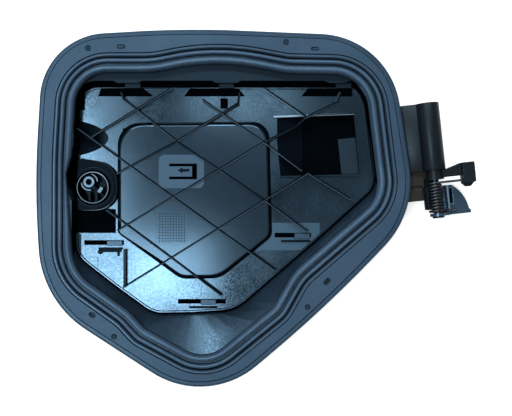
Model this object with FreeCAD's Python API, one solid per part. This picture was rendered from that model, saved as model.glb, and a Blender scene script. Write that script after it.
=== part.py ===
# Charging port flap of a car, seen from its inner side: X to the hinge, Y up, Z into the car.
# It lies on its outer face at z = 0. All sizes are in millimetres.
import FreeCAD
import Part
import math
import os

V = FreeCAD.Vector

# Levels and walls
skin = 2.5
plate_underside = 6.0
plate_wall = 2.0
plate_lip_height = 1.0
plate_lip_wall = 1.0
pad_rise = 3.0
pad_wall = 2.0
pad_draft = 1.6
rib_height = 4.5
rib_wall = 1.0
frame_seat = 15.5
flange_wall = 3.0
channel_depth = 2.0
rim_wall = 2.6
rim_ledge = 1.2
rim_gap = 0.3
rim_drop = 0.8
skin_edge = 4.0
rim_edge = 1.1
edge_steps = 2
round_steps = 4
side_steps = 3
bowl_wall = 1.8
shelf_wall = 1.8
plate_gap = 1.0
shelf_gap = 2.2
fit_gap = 0.3

floor = plate_underside + plate_wall
pad_top = floor + pad_rise
rib_top = floor + rib_height
flange_top = frame_seat + flange_wall
channel_floor = flange_top - channel_depth
rim_top = flange_top - rim_drop
shelf_top = frame_seat
post_foot = skin / 2

# Outlines as corners (x, y, radius), clockwise from the top left
panel_corners = [
    (-106.8, 86.05, 34.0),
    (-34.7, 90.4, 580.0),
    (66.95, 86.05, 41.5),
    (80.75, -2.4, 47.0),
    (34.9, -50.2, 640.0),
    (-24.85, -100.45, 44.0),
    (-107.7, -46.7, 52.0),
    (-111.2, 12.0, 415.0),
]
seal_corners = [
    (-99.05, 77.8, 26.5),
    (-51.5, 77.8, 50.0),
    (-21.5, 84.55, 119.0),
    (16.35, 77.35, 25.0),
    (63.3, 76.45, 28.5),
    (72.55, 1.2, 29.0),
    (26.4, -38.55, 20.0),
    (16.65, -55.95, 20.0),
    (-24.0, -88.7, 27.5),
    (-61.85, -68.25, 17.5),
    (-70.2, -59.1, 17.5),
    (-102.2, -36.4, 33.0),
    (-102.1, 25.5, 300.0),
]
# Foot of the sloped bowl, one corner for each seal corner from the right-hand one on
bowl_foot_corners = [
    (62.2, 10.8, 12.0),
    (29.8, -18.3, 60.0),
    (-10.4, -53.0, 22.0),
    (-31.5, -54.3, 100.0),
    (-52.8, -54.8, 17.0),
    (-73.2, -40.0, 60.0),
    (-93.0, -24.5, 15.0),
    (-93.2, 16.0, 300.0),
]
shelf_corners = [
    (-94.2, 64.0, 14.0),
    (57.5, 64.0, 11.0),
    (68.0, -22.0, 2.0),
    (68.0, -100.0, 2.0),
    (-94.2, -100.0, 2.0),
]
pad_corners = [
    (-69.7, 42.5, 12.7),
    (5.6, 43.0, 10.0),
    (7.1, -14.0, 7.0),
    (-18.8, -34.9, 15.0),
    (-38.2, -35.1, 10.0),
    (-69.7, -12.2, 4.0),
]

# Seal section: distance inward from the seal's outer edge, and height above the flange
seal_width = 9.5
seal_outer_gap = 0.25
small_lip = (0.5, 1.9, 0.5)
first_bead = (2.6, 4.9, 1.7)
main_bead = (6.0, 9.2, 3.0)
seal_valley = -0.3
first_bead_steps = 3
main_bead_steps = 4

# Rib lattice of the carrier plate, as straight runs in plan
ribs = [
    [(-83.8, 36.1), (-42.7, 61.0)],
    [(-71.1, 17.3), (-40.1, 34.0), (-9.1, 53.3), (-8.6, 58.4)],
    [(-70.1, -11.2), (4.1, 33.5), (19.8, 41.1), (25.4, 46.2), (41.1, 53.8), (42.7, 58.4)],
    [(-67.1, -40.1), (26.4, 17.8)],
    [(-68.1, 58.4), (-67.1, 55.4), (-39.6, 33.5), (3.6, 4.6), (25.9, -11.7)],
    [(-26.9, 54.9), (4.1, 33.5), (22.9, 19.3)],
    [(4.1, 61.0), (25.2, 46.7)],
    [(-90.4, 40.6), (-42.7, 6.1), (9.7, -31.5)],
    [(-75.7, -1.0), (-44.7, -23.9), (-17.8, -44.2)],
    [(26.4, 17.8), (47.8, 4.6)],
    [(-66.8, -21.5), (-66.8, -39.5)],
]

# Snap windows along the top edge: left and right at the upper edge, then at the lower edge
window_top = 61.2
window_bottom = 57.2
windows = [
    (-79.4, -57.9, -81.0, -52.3),
    (-33.8, -8.7, -36.9, -5.6),
    (26.7, 49.2, 23.1, 49.2),
]
top_hooks = [(-66.9, -58.7), (-18.9, -11.2), (40.8, 48.6)]
# Tabs of the shelf over the snap windows: left and right end at the shelf's front edge
shelf_tabs = [(-72.0, -57.4), (-22.2, -7.6), (34.7, 47.0)]
shelf_tab_reach = 1.1
shelf_tab_slant = 2.0
small_window = (-18.2, -14.4, 50.9, 56.2)
corner_notch_x = -87.6
corner_notch_y = 50.2

# Lower snap clips: slot ends and height in plan, hook ends, guide bar ends
clip_slot_width = 2.4
clip_bar_offset = 3.0
clips = [
    (-88.0, -67.6, -17.7, -76.1, -68.4, -80.0, -68.7),
    (-40.0, -15.5, -47.8, -28.2, -20.5, -33.8, -20.5),
    (9.6, 28.2, -13.9, 19.7, 27.4, 13.3, 27.2),
]
hook_wall = 1.3
hook_overhang = 1.3
hook_head = 1.4

# Centre tongue
tongue_left = -44.0
tongue_right = -32.3
tongue_low = 15.3
tongue_high = 21.9
tongue_slot = 0.9
tongue_end_slot = 2.0

# Pocket at the upper right, with a ramp on its left side
pocket_corners = [
    (9.4, 46.6, 1.5),
    (50.3, 48.2, 1.5),
    (53.3, 17.0, 1.5),
    (12.6, 16.0, 1.5),
]
ramp_end = 24.0
ramp_wall = 1.4
pocket_lip_height = 1.4

# Scoop above the latch, and the recess below it
scoop_tip_x = -75.6
scoop_y = 35.8
scoop_radius = 12.0
scoop_slope = 15.7
scoop_left = -91.0
scoop_half_width = 8.3
recess = (-95.0, -71.8, -12.8, -0.5)

# Support posts of the outer panel under the carrier plate
post_width = 4.4
posts = [(-60.0, 50.0), (-8.0, 48.0), (-50.0, -5.0), (0.0, 0.0), (-30.0, -44.0), (40.0, 3.0)]

# Latch
latch_x = -82.4
latch_y = 10.3
housing_corners = [
    (latch_x - 8.0, latch_y + 15.1, 2.0),
    (latch_x + 12.0, latch_y + 11.7, 11.0),
    (latch_x + 12.0, latch_y - 11.5, 11.0),
    (latch_x - 8.0, latch_y - 11.5, 2.0),
]
housing_top = 12.6
housing_floor = 2.0
collar_radius = 10.4
collar_top = 14.0
cup_radius = 9.1
receiver_radius = 8.0
receiver_wall = 0.8
receiver_top = 15.2
receiver_base = 1.2
boss_x = latch_x - 2.2
boss_y = latch_y + 2.9
boss_radius = 2.75
boss_top = 13.6
latch_bore_radius = 1.6
latch_bore_depth = 6.0
fin_wall = 0.9
fin_top = 12.0
fin_angles = (90.0, 180.0, -45.0)
bulge_radius = 25.0
bulge_x = -70.0
bulge_y = 14.0

# Hinge: axis point, height and lean in plan; sizes along it run down from the barrel's middle
hinge_x = 88.4
hinge_y = 36.2
hinge_z = 12.0
hinge_lean = 6.0
barrel_radius = 6.0
barrel_half = 17.0
neck_radius = 4.2
neck_length = 4.2
neck_collar_radius = 4.8
neck_collar_half = 0.8
pin_radius = 2.0
pin_top = 12.0
pin_head_radius = 3.0
pin_head = 0.9
eye_radius = 4.2
eye_length = 1.4
eye_gap = 0.05

# Torsion spring round the pin
wire_radius = 0.6
wire_sides = 4
coil_radius = 3.4
coil_shift = -0.6
coil_pitch = 1.55
coil_turns = 9.5
coil_steps = 12
coil_gap = 1.8
coil_end_gap = 0.2
leg_hold = 1.0
leg_gap = 0.2
lower_leg_length = 11.0

# Side view of the hinge arm's web from the axis inward, as points (x, z), and its root on the skin
arm_top = [(0.0, 2.0), (-12.0, 1.0), (-19.0, -2.6)]
arm_under = [(-12.0, -5.0), (0.0, -4.5)]
arm_foot = -24.0
arm_heel = -22.0
arm_root_wall = 3.2
arm_root_end = -46.0
arm_root_notch = -26.0
arm_root_high = 4.0
peg_width = 4.0
pegs = [(-33.0, -12.5), (-33.0, 0.0)]

# Spring guard beside the coil, and the gusset that carries it
guard_gap = 1.0
guard_wall = 1.4
guard_start = 145.0
guard_end = 285.0
guard_drop = 1.6
guard_end_gap = 2.2
gusset_end = -20.0
gusset_length = 15.0
gusset_top = -2.0
gusset_wall = 2.0
gusset_slot_start = 7.4
gusset_slot_width = 1.4
gusset_slot_length = 7.0
gusset_slot_depth = 1.3
gusset_gap = 0.3

# Hook arm that takes the upper leg: plan points from the shoulder of the barrel, and its block
hook_arm_x = 6.5
hook_inner = 13.4
hook_outer = 19.6
hook_rise = 2.2
hook_drop = 8.0
hook_round = 2.0
hook_half_height = 2.0
hook_roof_wall = 1.8

# Hinge bracket: wing with a curved outer edge, upright flange and tie to the eye
wing_gap = 0.1
wing_wall = 2.0
wing_drop = 1.7
wing_curve = [(9.2, 0.0), (14.2, -5.2), (17.0, -12.9)]
wing_reach = 17.9
wing_inner = 2.0
wing_foot = -13.6
wing_slot = (6.5, 9.2, -9.6, -1.7)
wing_slot_floor = 0.7
flange_x = 4.9
flange_wall_x = 1.0
flange_high = 3.0
tie_high = 1.2
stem_half = 1.6

shoulder = -barrel_half
neck_end = shoulder - neck_length
coil_top = neck_end - coil_gap - wire_radius
coil_bottom = coil_top - coil_pitch * coil_turns
eye_top = coil_bottom - wire_radius - coil_end_gap
eye_bottom = eye_top - eye_length
leg_end = hook_inner + leg_hold
leg_length = leg_end - coil_shift
leg_room = wire_radius + leg_gap
hook_roof = coil_radius + leg_room + hook_roof_wall
guard_inner = coil_radius + wire_radius + guard_gap
guard_outer = guard_inner + guard_wall
guard_high = coil_top - guard_drop
guard_low = eye_top + guard_end_gap
gusset_low = shoulder - gusset_length
wing_high = coil_top - wing_drop
wing_top = -coil_radius - wire_radius - wing_gap

# A length past every side of the flap, for cuts that run right through
far = max(x for x, _, _ in panel_corners) - min(x for x, _, _ in panel_corners)


def edge_direction(corners, i):
    """Unit vector along the side that leaves corner i."""
    a = corners[i]
    b = corners[(i + 1) % len(corners)]
    length = math.hypot(b[0] - a[0], b[1] - a[1])
    return (b[0] - a[0]) / length, (b[1] - a[1]) / length


def offset(corners, inset):
    """Move every side of a clockwise outline inward and keep its arcs concentric."""
    moved = []
    for i, (x, y, r) in enumerate(corners):
        ax, ay = edge_direction(corners, i - 1)
        bx, by = edge_direction(corners, i)
        cross = ax * by - ay * bx
        k = inset * (1 - (ax * bx + ay * by)) / cross
        moved.append((x + inset * ay + k * ax, y - inset * ax + k * ay, r + math.copysign(inset, cross)))
    return moved


def arc_point(corners, i, share, z):
    """Point on the arc of corner i, from its start at share 0 to its end at share 1."""
    x, y, r = corners[i]
    ax, ay = edge_direction(corners, i - 1)
    bx, by = edge_direction(corners, i)
    turn = math.atan2(ax * by - ay * bx, ax * bx + ay * by)
    reach = r * math.tan(abs(turn) / 2)
    spoke = V(ay, -ax, 0) * math.copysign(r, turn)
    centre = V(x - ax * reach, y - ay * reach, z) - spoke
    return centre + FreeCAD.Rotation(V(0, 0, 1), math.degrees(turn * share)).multVec(spoke)


def outline(corners, z):
    """Closed wire of straight sides and tangent corner arcs."""
    arcs = [[arc_point(corners, i, share, z) for share in (0, 0.5, 1)] for i in range(len(corners))]
    edges = []
    for i, (start, middle, end) in enumerate(arcs):
        edges.append(Part.Arc(start, middle, end).toShape())
        edges.append(Part.LineSegment(end, arcs[(i + 1) % len(arcs)][0]).toShape())
    return Part.Wire(edges)


def chord_points(corners, z, steps):
    """Points round an outline: each corner arc as so many chords, each straight side as a few spans."""
    points = []
    for i in range(len(corners)):
        points += [arc_point(corners, i, k / steps, z) for k in range(steps + 1)]
        start = points[-1]
        span = arc_point(corners, (i + 1) % len(corners), 0, z) - start
        points += [start + span * (k / side_steps) for k in range(1, side_steps)]
    return points


def corner_points(corners, z):
    """Points of an outline without its arcs, with a few spans on each side."""
    points = []
    for i, (x, y, _) in enumerate(corners):
        end = corners[(i + 1) % len(corners)]
        span = V(end[0] - x, end[1] - y, 0)
        points += [V(x, y, z) + span * (k / side_steps) for k in range(side_steps)]
    return points


def ring_solid(rings, closed):
    """Solid of flat facets through rings of points, with its ends capped or joined to each other."""
    pairs = list(zip(rings, rings[1:]))
    faces = []
    if closed:
        pairs.append((rings[-1], rings[0]))
    else:
        faces += [Part.Face(Part.makePolygon(ring + ring[:1])) for ring in (rings[0], rings[-1])]
    for a, b in pairs:
        for i in range(len(a)):
            j = (i + 1) % len(a)
            faces.append(Part.Face(Part.makePolygon([a[i], a[j], b[j], a[i]])))
            faces.append(Part.Face(Part.makePolygon([a[i], b[j], b[i], a[i]])))
    shell = Part.Shell(faces)
    shell.sewShape()
    solid = Part.Solid(shell)
    if solid.Volume < 0:
        solid.reverse()
    return solid.removeSplitter()


def swept_ring(corners, section):
    """Closed ring: a section of (inward, height) points carried round an outline."""
    path = outline(corners, 0)
    start = path.Edges[0].firstVertex().Point
    dx, dy = edge_direction(corners, -1)
    points = [V(start.x + dy * inward, start.y - dx * inward, height) for inward, height in section]
    sweep = Part.BRepOffsetAPI.MakePipeShell(path)
    sweep.setBiNormalMode(V(0, 0, 1))
    sweep.add(Part.makePolygon(points + points[:1]), False, False)
    sweep.build()
    sweep.makeSolid()
    return sweep.shape()


def quarter_round(centre_in, centre_up, radius, first):
    """Section points of a quarter turn, from the angle first in degrees, clockwise."""
    points = []
    for i in range(edge_steps + 1):
        turn = math.radians(first - 90.0 * i / edge_steps)
        points.append((centre_in + radius * math.cos(turn), centre_up + radius * math.sin(turn)))
    return points


def prism(corners, low, high):
    return Part.Face(outline(corners, low)).extrude(V(0, 0, high - low))


def box(x0, x1, y0, y1, z0, z1):
    return Part.makeBox(x1 - x0, y1 - y0, z1 - z0, V(x0, y0, z0))


def post(x, y, width, low, high):
    half = width / 2
    return box(x - half, x + half, y - half, y + half, low, high)


def cylinder(x, y, radius, low, high):
    return Part.makeCylinder(radius, high - low, V(x, y, low))


def plan_prism(points, low, high):
    """Straight-sided prism over a plan polygon."""
    corners = [V(x, y, low) for x, y in points]
    return Part.Face(Part.makePolygon(corners + corners[:1])).extrude(V(0, 0, high - low))


def side_prism(points, low, high):
    """Straight-sided prism over a side view of (x, z) points, between two values of y."""
    corners = [V(x, low, z) for x, z in points]
    return Part.Face(Part.makePolygon(corners + corners[:1])).extrude(V(0, high - low, 0))


def wall_run(points, wall, low, high):
    """Thin upright walls along the runs of a plan path, each run a half wall longer at its ends."""
    pieces = []
    for (ax, ay), (bx, by) in zip(points, points[1:]):
        length = math.hypot(bx - ax, by - ay)
        piece = box(-wall / 2, length + wall / 2, -wall / 2, wall / 2, low, high)
        piece.rotate(V(0, 0, 0), V(0, 0, 1), math.degrees(math.atan2(by - ay, bx - ax)))
        piece.translate(V(ax, ay, 0))
        pieces.append(piece)
    return pieces


def joined(first, others):
    return first.fuse(others).removeSplitter()


def on_hinge(shape):
    """Carry a shape from the hinge's own frame, with its axis along Y, to its place on the flap."""
    shape.rotate(V(0, 0, 0), V(0, 0, 1), hinge_lean)
    shape.translate(V(hinge_x, hinge_y, hinge_z))
    return shape


def along_hinge(radius, low, high):
    """Cylinder about the hinge axis in the hinge's own frame."""
    return Part.makeCylinder(radius, high - low, V(0, low, 0), V(0, 1, 0))


bowl_top_corners = offset(seal_corners, seal_width)
bowl_corners = bowl_top_corners[:5] + bowl_foot_corners


def plate_area(inset, low, high):
    """Outline of the carrier plate: the bowl's foot less its gap, cut off under the top shelf."""
    inner = prism(offset(bowl_corners, plate_gap + inset), low, high)
    return inner.common(prism(offset(shelf_corners, shelf_gap + inset), low, high))


def arm_profile(room):
    """Side view of the hinge arm's web, with room above, below and past its end."""
    root = skin - hinge_z
    root_top = root + arm_root_wall + room
    root_end = arm_root_end - room
    top = [(x, z + room) for x, z in arm_top]
    under = [(x, z - room) for x, z in arm_under]
    root_path = [(arm_foot, root_top), (root_end, root_top), (root_end, root), (arm_heel - room, root)]
    return top + root_path + under


def gusset_block(room):
    """Plate that carries the spring guard, with room round it."""
    low = gusset_top - gusset_wall
    outer = coil_shift - coil_radius - wire_radius - gusset_gap
    return box(gusset_end - room, outer, gusset_low - room, shoulder + room, low - room, gusset_top + room)


def make_outer_panel():
    face_edge = skin_edge + rim_wall
    section = [(face_edge, skin), (face_edge, 0)]
    section += quarter_round(skin_edge, skin_edge, skin_edge, -90.0)
    section += quarter_round(rim_edge, rim_top - rim_edge, rim_edge, 180.0)
    section += [(rim_wall, rim_top), (rim_wall, frame_seat)]
    section += [(rim_wall + rim_ledge, frame_seat), (rim_wall + rim_ledge, skin)]
    face = prism(offset(panel_corners, face_edge), 0, skin)
    tray = joined(swept_ring(panel_corners, section), [face])
    web_window = side_prism(arm_profile(fit_gap), -barrel_half - fit_gap, barrel_half + fit_gap)
    tray = tray.cut([on_hinge(web_window), on_hinge(gusset_block(fit_gap))])
    added = [post(x, y, post_width, post_foot, plate_underside) for x, y in posts]
    back = shelf_corners[0][1] - fit_gap
    head = floor + plate_lip_height + fit_gap
    for left, right in top_hooks:
        added.append(box(left, right, back - hook_wall, back, post_foot, head + hook_head))
        added.append(box(left, right, back - hook_wall - hook_overhang, back, head, head + hook_head))
    head = floor + fit_gap
    for _, _, y, left, right, _, _ in clips:
        back = y + clip_slot_width / 2 - fit_gap
        added.append(box(left, right, back - hook_wall, back, post_foot, head + hook_head))
        added.append(box(left, right, back - hook_wall - hook_overhang, back, head, head + hook_head))
    root = skin - hinge_z
    for x, y in pegs:
        added.append(on_hinge(post(x, y, peg_width, root - post_foot, root + arm_root_wall)))
    return joined(tray, added)


def latch_bulge(radius, low, high):
    return cylinder(bulge_x, bulge_y, radius, low, high)


def make_seal_frame():
    flange = prism(offset(panel_corners, rim_wall + rim_gap), frame_seat, flange_top)
    # The hidden back of the bowl has plain corners, so its wall is thicker there
    back_foot = corner_points(offset(bowl_corners, -bowl_wall), plate_underside)
    back_top = corner_points(offset(bowl_top_corners, -bowl_wall), channel_floor)
    bowl = ring_solid([back_foot, back_top], False)
    foot = chord_points(bowl_corners, plate_underside, round_steps)
    top = chord_points(bowl_top_corners, channel_floor, round_steps)
    hollow = ring_solid([foot, top], False)
    bulge = latch_bulge(bulge_radius + bowl_wall, plate_underside, channel_floor)
    bulge_end = bowl_foot_corners[-1][0] + bowl_wall
    bulge = bulge.common(box(-far, bulge_end, -far, far, plate_underside, channel_floor))
    shelf = prism(offset(bowl_top_corners, -bowl_wall / 2), shelf_top - shelf_wall, shelf_top)
    shelf = shelf.cut(prism(shelf_corners, 0, far))
    front = shelf_corners[0][1]
    tab_end = front - shelf_tab_reach
    tabs = []
    for left, right in shelf_tabs:
        back_points = [(left, front + shelf_tab_reach), (right, front + shelf_tab_reach), (right, front)]
        front_points = [(right - shelf_tab_slant, tab_end), (left + shelf_tab_slant, tab_end), (left, front)]
        tabs.append(plan_prism(back_points + front_points, shelf_top - shelf_wall, shelf_top))
    frame = joined(flange, [bowl, bulge])
    frame = frame.cut([prism(seal_corners, channel_floor, far), hollow])
    frame = joined(frame, [shelf] + tabs)
    return frame.cut(latch_bulge(bulge_radius, plate_underside, far))


def bead(left, right, height, steps):
    """Section points of one round bead of the seal, from its outer to its inner foot."""
    valley = flange_top + seal_valley
    points = []
    for i in range(steps + 1):
        turn = math.pi * i / steps
        inward = (left + right) / 2 - (right - left) / 2 * math.cos(turn)
        points.append((inward, valley + (height - seal_valley) * math.sin(turn)))
    return points


def make_rim_seal():
    lip_left, lip_right, lip_height = small_lip
    section = [(main_bead[1], channel_floor), (seal_outer_gap, channel_floor)]
    section += [(lip_left, flange_top + lip_height), (lip_right, flange_top + lip_height)]
    section += bead(*first_bead, first_bead_steps) + bead(*main_bead, main_bead_steps)
    loops = [chord_points(offset(seal_corners, inward), height, round_steps) for inward, height in section]
    return ring_solid(loops, True).cut(latch_bulge(bulge_radius, 0, far))


def pocket_ramp():
    """Sloped left side of the pocket, from the plate down to just above the skin."""
    left, high, _ = pocket_corners[0]
    low = pocket_corners[3][1]
    under = skin + fit_gap
    section = [
        (left - ramp_wall, floor),
        (left - ramp_wall, plate_underside),
        (ramp_end, under),
        (ramp_end, under + ramp_wall),
        (left + ramp_wall, floor),
    ]
    return side_prism(section, low, high)


def scoop_cut():
    """Round scoop that slopes down toward the latch edge from its tip on the plate."""
    lean = math.radians(scoop_slope)
    run = V(-math.cos(lean), 0, -math.sin(lean))
    tip = V(scoop_tip_x, scoop_y, floor) + V(-math.sin(lean), 0, math.cos(lean)) * scoop_radius
    return Part.makeCylinder(scoop_radius, far, tip, run)


def plate_openings():
    """Windows, slots, recess and pocket that go through the plate."""
    cuts = []
    for top_left, top_right, low_left, low_right in windows:
        lower = [(low_left, window_bottom), (low_right, window_bottom)]
        upper = [(top_right, window_top), (top_left, window_top)]
        cuts.append(plan_prism(lower + upper, 0, far))
    x0, x1, y0, y1 = small_window
    cuts.append(box(x0, x1, y0, y1, 0, far))
    cuts.append(box(-far, corner_notch_x, corner_notch_y, far, 0, far))
    for left, right, y, _, _, _, _ in clips:
        cuts.append(box(left, right, y - clip_slot_width / 2, y + clip_slot_width / 2, 0, far))
    x0, x1, y0, y1 = recess
    cuts.append(box(x0, x1, y0, y1, 0, far))
    cuts.append(prism(pocket_corners, 0, far))
    return cuts


def tongue_slots():
    """Slots on three sides of the centre tongue."""
    half = tongue_slot / 2
    upper = box(tongue_left, tongue_right, tongue_high - half, tongue_high + half, 0, far)
    lower = box(tongue_left, tongue_right, tongue_low - half, tongue_low + half, 0, far)
    end = tongue_right + tongue_end_slot
    return [upper, lower, box(tongue_right, end, tongue_low - half, tongue_high + half, 0, pad_top)]


def make_carrier_plate():
    plate = plate_area(0, plate_underside, floor)
    lip = plate_area(0, floor, floor + plate_lip_height)
    lip = lip.cut(plate_area(plate_lip_wall, floor, floor + plate_lip_height))
    wall_foot = plate_underside + plate_wall / 2
    pad_foot = outline(offset(pad_corners, -pad_draft), wall_foot)
    pad = Part.makeLoft([pad_foot, outline(pad_corners, pad_top)], True, True)
    scoop_low = scoop_y - scoop_half_width
    scoop_high = scoop_y + scoop_half_width
    scoop_block = box(scoop_left, scoop_tip_x, scoop_low, scoop_high, skin + fit_gap, floor)
    plate = joined(plate, [lip, pad, scoop_block])
    under_foot = corner_points(offset(pad_corners, pad_wall - pad_draft), plate_underside)
    under_roof = corner_points(offset(pad_corners, pad_wall), pad_top - pad_wall)
    pad_hollow = ring_solid([under_foot, under_roof], False)
    plate = plate.cut([pad_hollow, scoop_cut()] + plate_openings())
    lip_path = [(x, y) for x, y, _ in pocket_corners]
    low_rib_top = floor + pocket_lip_height
    walls = wall_run(lip_path, rib_wall, plate_underside, low_rib_top)
    for run_points in ribs:
        walls += wall_run(run_points, rib_wall, wall_foot, rib_top)
    for _, _, y, _, _, bar_left, bar_right in clips:
        bar_y = y - clip_bar_offset
        walls += wall_run([(bar_left, bar_y), (bar_right, bar_y)], rib_wall, wall_foot, low_rib_top)
    plate = joined(plate, [pocket_ramp()] + walls)
    housing_left, housing_high, _ = housing_corners[0]
    housing = prism(offset(housing_corners, -fit_gap), 0, far)
    edge = box(-far, housing_left, recess[2], housing_high + fit_gap, 0, far)
    return plate.cut(tongue_slots() + [housing, edge])


def make_latch_housing():
    body = prism(housing_corners, skin, housing_top)
    body = joined(body, [cylinder(latch_x, latch_y, collar_radius, skin, collar_top)])
    body = body.common(box(housing_corners[0][0], far, -far, far, 0, far))
    return body.cut(cylinder(latch_x, latch_y, cup_radius, skin + housing_floor, far))


def make_latch_receiver():
    base = skin + housing_floor
    inner_radius = receiver_radius - receiver_wall
    tube = cylinder(latch_x, latch_y, receiver_radius, base, receiver_top)
    tube = tube.cut(cylinder(latch_x, latch_y, inner_radius, base + receiver_base, far))
    inside = cylinder(latch_x, latch_y, receiver_radius - receiver_wall / 2, base, receiver_top)
    fins = []
    for angle in fin_angles:
        reach = 2 * receiver_radius
        turn = math.radians(angle)
        end = (boss_x + reach * math.cos(turn), boss_y + reach * math.sin(turn))
        fins += wall_run([(boss_x, boss_y), end], fin_wall, base, fin_top)
    boss = cylinder(boss_x, boss_y, boss_radius, base, boss_top)
    receiver = joined(tube, [fin.common(inside) for fin in fins] + [boss])
    return receiver.cut(cylinder(boss_x, boss_y, latch_bore_radius, boss_top - latch_bore_depth, far))


def spring_guard():
    """Thin shell beside the coil, over part of a turn."""
    shell = along_hinge(guard_outer, guard_low, guard_high).cut(along_hinge(guard_inner, -far, far))
    reach = 3 * guard_outer
    sector = [(0, 0)]
    for angle in (guard_start, (guard_start + guard_end) / 2, guard_end):
        turn = math.radians(angle)
        sector.append((reach * math.cos(turn), reach * math.sin(turn)))
    return shell.common(side_prism(sector, guard_low, guard_high))


def spring_hook():
    """Arm from the shoulder of the barrel, with a block at its end that holds the upper leg."""
    block_high = shoulder + hook_rise
    block_low = shoulder - hook_drop
    block_end = block_low - hook_round
    block = [(hook_inner, block_low), (hook_inner, block_high)]
    block += [(hook_outer, block_high), (hook_outer, block_low)]
    plan = [(0, neck_end), (0, shoulder), (hook_arm_x, shoulder)] + block[1:]
    plan += [(hook_outer - hook_round, block_end), (hook_inner + hook_round, block_end)]
    plan += [(hook_inner, block_low), (hook_inner, neck_end)]
    hook = plan_prism(plan, -hook_half_height, hook_half_height)
    hook = joined(hook, [plan_prism(block, -hook_half_height, hook_roof)])
    notch_end = leg_end + leg_room
    low = coil_radius - leg_room
    return hook.cut(box(0, notch_end, coil_top - leg_room, coil_top + leg_room, low, low + 2 * leg_room))


def make_hinge_arm():
    web = side_prism(arm_profile(0), -barrel_half, barrel_half)
    web = web.cut(box(-far, arm_root_notch, arm_root_high, far, -far, far))
    barrel = along_hinge(barrel_radius, -barrel_half, barrel_half)
    neck = along_hinge(neck_radius, neck_end, shoulder)
    collar = along_hinge(neck_collar_radius, neck_end - neck_collar_half, neck_end + neck_collar_half)
    gusset_low_side = gusset_top - gusset_wall
    root = box(gusset_end, 0, neck_end, shoulder, gusset_low_side, gusset_top)
    slot_high = shoulder - gusset_slot_start
    slot_left = -guard_outer - gusset_slot_length
    slot_floor = gusset_top - gusset_slot_depth
    slot = box(slot_left, -guard_outer, slot_high - gusset_slot_width, slot_high, slot_floor, far)
    gusset = gusset_block(0).cut(slot)
    arm = joined(web, [barrel, neck, collar, root, gusset, spring_guard(), spring_hook()])
    holes = [along_hinge(pin_radius, -far, pin_top)]
    holes += [post(x, y, peg_width, -far, far) for x, y in pegs]
    return on_hinge(arm.cut(holes))


def make_hinge_pin():
    head_top = eye_bottom - eye_gap
    pin = along_hinge(pin_radius, head_top - pin_head, pin_top)
    head = along_hinge(pin_head_radius, head_top - pin_head, head_top)
    return on_hinge(joined(pin, [head]))


def wire_ring(turns, run):
    """Wire section after so many turns of the coil, moved along X by run for the end of a leg."""
    turn = 2 * math.pi * turns
    ring = []
    for i in range(wire_sides):
        side = 2 * math.pi * i / wire_sides
        radius = coil_radius + wire_radius * math.cos(side)
        y = coil_top - coil_pitch * turns - wire_radius * math.sin(side)
        ring.append(V(coil_shift + run - radius * math.sin(turn), y, radius * math.cos(turn)))
    return ring


def make_torsion_spring():
    # Turns start at the top of the coil, where the upper leg leaves along X, and run down the axis
    steps = round(coil_turns * coil_steps)
    rings = [wire_ring(0, leg_length)]
    rings += [wire_ring(coil_turns * i / steps, 0) for i in range(steps + 1)]
    rings.append(wire_ring(coil_turns, lower_leg_length))
    return on_hinge(ring_solid(rings, False))


def bracket_wing(low):
    """Flat wing with a curved outer edge and a slot."""
    start, middle, end = [V(x, wing_high + y, low) for x, y in wing_curve]
    foot = wing_high + wing_foot
    path = [(wing_reach, foot), (wing_reach, eye_bottom), (0, eye_bottom), (0, eye_top)]
    path += [(wing_inner, eye_top), (wing_inner, wing_high)]
    points = [end] + [V(x, y, low) for x, y in path] + [start]
    edges = [Part.Arc(start, middle, end).toShape()]
    edges += [Part.LineSegment(a, b).toShape() for a, b in zip(points, points[1:])]
    wing = Part.Face(Part.Wire(edges)).extrude(V(0, 0, wing_wall))
    x0, x1, y0, y1 = wing_slot
    return wing.cut(box(x0, x1, wing_high + y0, wing_high + y1, low + wing_slot_floor, wing_top))


def make_hinge_bracket():
    low = wing_top - wing_wall
    flange_end = flange_x + flange_wall_x
    eye = along_hinge(eye_radius, eye_bottom, eye_top)
    stem = box(-stem_half, stem_half, eye_bottom, eye_top, low, 0)
    tie = box(0, flange_end, eye_bottom, eye_top, low, tie_high)
    flange = box(flange_x, flange_end, coil_bottom + leg_room, wing_high, low, flange_high)
    bracket = joined(eye, [bracket_wing(low), stem, tie, flange])
    return on_hinge(bracket.cut(along_hinge(pin_radius + eye_gap, -far, far)))


makers = {
    "outer_panel": make_outer_panel,
    "seal_frame": make_seal_frame,
    "rim_seal": make_rim_seal,
    "carrier_plate": make_carrier_plate,
    "latch_housing": make_latch_housing,
    "latch_receiver": make_latch_receiver,
    "hinge_arm": make_hinge_arm,
    "hinge_pin": make_hinge_pin,
    "torsion_spring": make_torsion_spring,
    "hinge_bracket": make_hinge_bracket,
}

os.makedirs("parts", exist_ok=True)
for name, make in makers.items():
    make().exportStep("parts/" + name + ".step")
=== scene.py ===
# %% [markdown]
# A charging port flap, seen from its inner side
#
# The flap lies on its outer face and shows the side that closes against the car. This lesson loads the
# measured solids, dresses each of them in a moulded finish, and remakes the soft seal and the wire spring as
# smooth meshes. Small moulded marks come last.

# %% Load the measured solids
import bpy
import bmesh
import math
from mathutils import Matrix, Vector


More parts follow.
